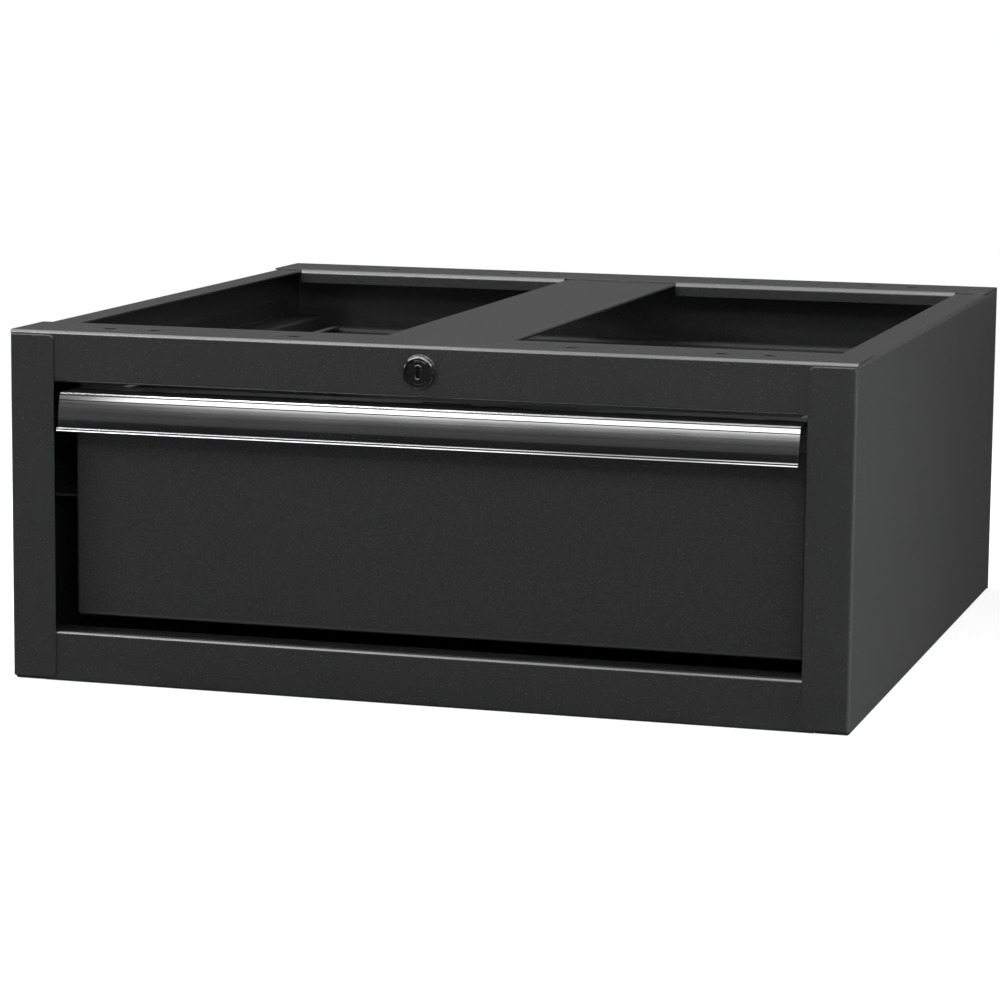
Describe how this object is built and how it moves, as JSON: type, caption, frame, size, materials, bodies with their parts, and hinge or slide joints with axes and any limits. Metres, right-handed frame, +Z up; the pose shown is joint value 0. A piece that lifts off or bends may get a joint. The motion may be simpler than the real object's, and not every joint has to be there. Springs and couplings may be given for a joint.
{
  "type": "drawer module",
  "caption": "Sheet-steel drawer module: inset drawer on ball slides, full-width aluminium pull, cam lock in the top rail and an open top frame with fixing holes.",
  "frame": {"origin": "middle of the footprint, handle included, on the surface that the module stands on", "axes": "+Z up, the drawer opens towards -Y, +X to the right seen from the front"},
  "size_m": [0.58, 0.586, 0.24],
  "materials": {
    "powder_coat": "fine-textured dark grey powder coat",
    "aluminium": "polished extrusion",
    "lock_black": "gloss black",
    "zinc_plate": "bright zinc plate",
    "ball_steel": "polished steel",
    "rubber": "matt black rubber"
  },
  "bodies": {
    "casing": {"side_panel_left": "powder_coat", "side_panel_right": "powder_coat", "back_panel": "powder_coat", "top_front_rail": "powder_coat", "bottom_front_rail": "powder_coat", "top_strap": "powder_coat", "base_panel": "powder_coat", "runner_carrier_left": "powder_coat", "runner_carrier_right": "powder_coat", "outer_slide_left": "zinc_plate", "outer_slide_right": "zinc_plate", "slide_buffer_left": "rubber", "slide_buffer_right": "rubber", "carrier_screws_left": "zinc_plate", "carrier_screws_right": "zinc_plate", "lock_housing": "lock_black", "lock_nut": "zinc_plate"},
    "drawer": {"drawer_front": "powder_coat", "drawer_inner_front": "powder_coat", "drawer_tray": "powder_coat", "drawer_back": "powder_coat", "handle": "aluminium", "handle_screws": "zinc_plate", "inner_slide_left": "zinc_plate", "inner_slide_right": "zinc_plate", "runner_rivets_left": "zinc_plate", "runner_rivets_right": "zinc_plate"},
    "lock_core": {"lock_plug": "lock_black", "lock_cam": "zinc_plate", "cam_washer": "zinc_plate", "cam_screw": "zinc_plate"},
    "middle_slide_left": {"middle_slide_left": "zinc_plate"},
    "outer_cage_left": {"outer_ball_cage_left": "zinc_plate", "outer_balls_left": "ball_steel"},
    "inner_cage_left": {"inner_ball_cage_left": "zinc_plate", "inner_balls_left": "ball_steel"},
    "middle_slide_right": {"middle_slide_right": "zinc_plate"},
    "outer_cage_right": {"outer_ball_cage_right": "zinc_plate", "outer_balls_right": "ball_steel"},
    "inner_cage_right": {"inner_ball_cage_right": "zinc_plate", "inner_balls_right": "ball_steel"}
  },
  "joints": [
    {"name": "drawer_slide", "type": "slide", "parent": "casing", "child": "drawer", "axis": [0, -1, 0], "range_m": [0, 0.47]},
    {"name": "lock_turn", "type": "hinge", "parent": "casing", "child": "lock_core", "pos_m": [0, -0.287, 0.22275], "axis": [0, 1, 0], "range_deg": [0, 90]},
    {"name": "middle_slide_left_run", "type": "slide", "parent": "casing", "child": "middle_slide_left", "axis": [0, -1, 0], "range_m": [0, 0.235]},
    {"name": "outer_cage_left_run", "type": "slide", "parent": "casing", "child": "outer_cage_left", "axis": [0, -1, 0], "range_m": [0, 0.1175]},
    {"name": "inner_cage_left_run", "type": "slide", "parent": "casing", "child": "inner_cage_left", "axis": [0, -1, 0], "range_m": [0, 0.3525]},
    {"name": "middle_slide_right_run", "type": "slide", "parent": "casing", "child": "middle_slide_right", "axis": [0, -1, 0], "range_m": [0, 0.235]},
    {"name": "outer_cage_right_run", "type": "slide", "parent": "casing", "child": "outer_cage_right", "axis": [0, -1, 0], "range_m": [0, 0.1175]},
    {"name": "inner_cage_right_run", "type": "slide", "parent": "casing", "child": "inner_cage_right", "axis": [0, -1, 0], "range_m": [0, 0.3525]}
  ],
  "couplings": [
    {"joint": "middle_slide_left_run", "follows": "drawer_slide", "ratio": 0.5},
    {"joint": "outer_cage_left_run", "follows": "drawer_slide", "ratio": 0.25},
    {"joint": "inner_cage_left_run", "follows": "drawer_slide", "ratio": 0.75},
    {"joint": "middle_slide_right_run", "follows": "drawer_slide", "ratio": 0.5},
    {"joint": "outer_cage_right_run", "follows": "drawer_slide", "ratio": 0.25},
    {"joint": "inner_cage_right_run", "follows": "drawer_slide", "ratio": 0.75}
  ]
}
